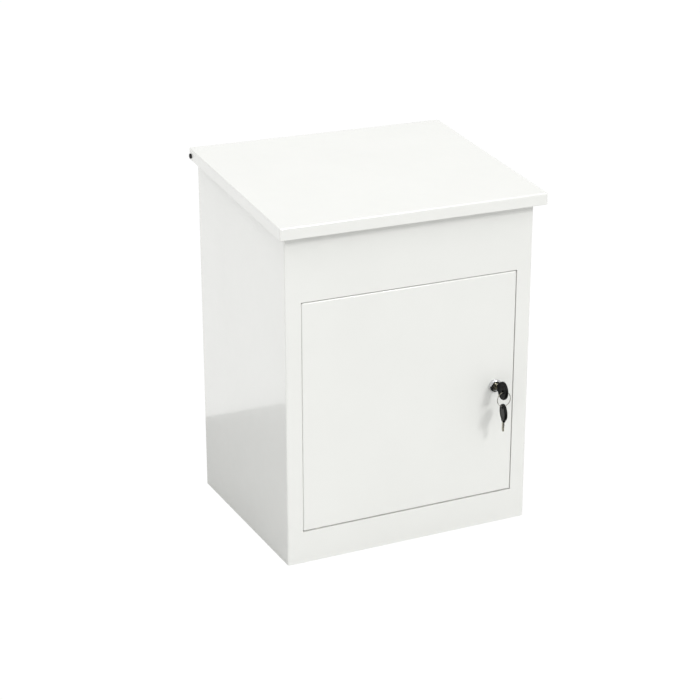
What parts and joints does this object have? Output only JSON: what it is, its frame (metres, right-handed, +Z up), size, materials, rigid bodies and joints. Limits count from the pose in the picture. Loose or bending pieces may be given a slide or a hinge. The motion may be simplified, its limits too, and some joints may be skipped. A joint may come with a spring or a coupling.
{
  "type": "book drop box",
  "caption": "Lockable sheet-steel drop box: a sloping rear-hinged lid with a scoop for depositing books, and a flush front door with a cam lock for collecting them.",
  "frame": {"origin": "floor level under the middle of the casing's footprint", "axes": "+X to the right along the front, +Y from the front to the back, +Z up"},
  "size_m": [0.443, 0.3774, 0.5747],
  "materials": {
    "white_paint": "gloss powder coat",
    "zinc_plated_steel": "satin",
    "chrome": "polished",
    "nickel_plate": "semi-polished",
    "black_plastic": "semi-gloss",
    "black_rubber": "matt",
    "nylon": "matt"
  },
  "bodies": {
    "casing": {"casing_wrapper": "white_paint", "back_panel": "white_paint", "back_rivets": "zinc_plated_steel", "base_tray": "white_paint", "frame_header": "white_paint", "frame_sill": "white_paint", "frame_hinge_jamb": "white_paint", "frame_lock_jamb": "white_paint", "door_seal": "black_rubber", "door_bush_top": "nylon", "door_bush_bottom": "nylon", "rim_trim_front": "black_rubber", "rim_trim_left": "black_rubber", "rim_trim_right": "black_rubber", "hinge_plate_left": "white_paint", "hinge_plate_right": "white_paint", "hinge_rod": "zinc_plated_steel", "hinge_spacer_left": "nylon", "hinge_spacer_right": "nylon", "hinge_caps": "black_plastic"},
    "lid": {"lid_cover": "white_paint", "lid_brace": "white_paint", "lid_rail_left": "white_paint", "lid_rail_right": "white_paint", "scoop_plate": "white_paint", "scoop_cheek_left": "white_paint", "scoop_cheek_right": "white_paint", "scoop_screws": "zinc_plated_steel"},
    "door": {"door_panel": "white_paint", "door_stiffener": "white_paint", "door_pin_top": "zinc_plated_steel", "door_pin_bottom": "zinc_plated_steel", "lock_plate": "white_paint", "lock_housing": "chrome", "lock_nut": "zinc_plated_steel"},
    "lock_core": {"lock_plug": "nickel_plate", "lock_cam": "zinc_plated_steel", "cam_screw": "zinc_plated_steel"},
    "key": {"key_blade": "nickel_plate", "key_bow": "black_plastic"},
    "ring": {"key_ring": "nickel_plate"},
    "spare_key": {"spare_blade": "nickel_plate", "spare_bow": "black_plastic"}
  },
  "joints": [
    {"name": "lid_hinge", "type": "hinge", "parent": "casing", "child": "lid", "pos_m": [0, 0.15825, 0.5625], "axis": [-1, 0, 0], "range_deg": [0, 75]},
    {"name": "door_hinge", "type": "hinge", "parent": "casing", "child": "door", "pos_m": [-0.155, -0.15985, 0.2335], "axis": [0, 0, -1], "range_deg": [0, 110]},
    {"name": "lock_turn", "type": "hinge", "parent": "door", "child": "lock_core", "pos_m": [0.146, -0.16625, 0.2335], "axis": [0, -1, 0], "range_deg": [0, 90]},
    {"name": "key_slide", "type": "slide", "parent": "lock_core", "child": "key", "axis": [0, -1, 0], "range_m": [0, 0.012]},
    {"name": "ring_swing", "type": "hinge", "parent": "key", "child": "ring", "pos_m": [0.146, -0.19575, 0.2323], "axis": [1, 0, 0], "range_deg": [-50, 12]},
    {"name": "spare_key_swing", "type": "hinge", "parent": "ring", "child": "spare_key", "pos_m": [0.146, -0.19575, 0.2093], "axis": [1, 0, 0], "range_deg": [-50, 8]}
  ]
}
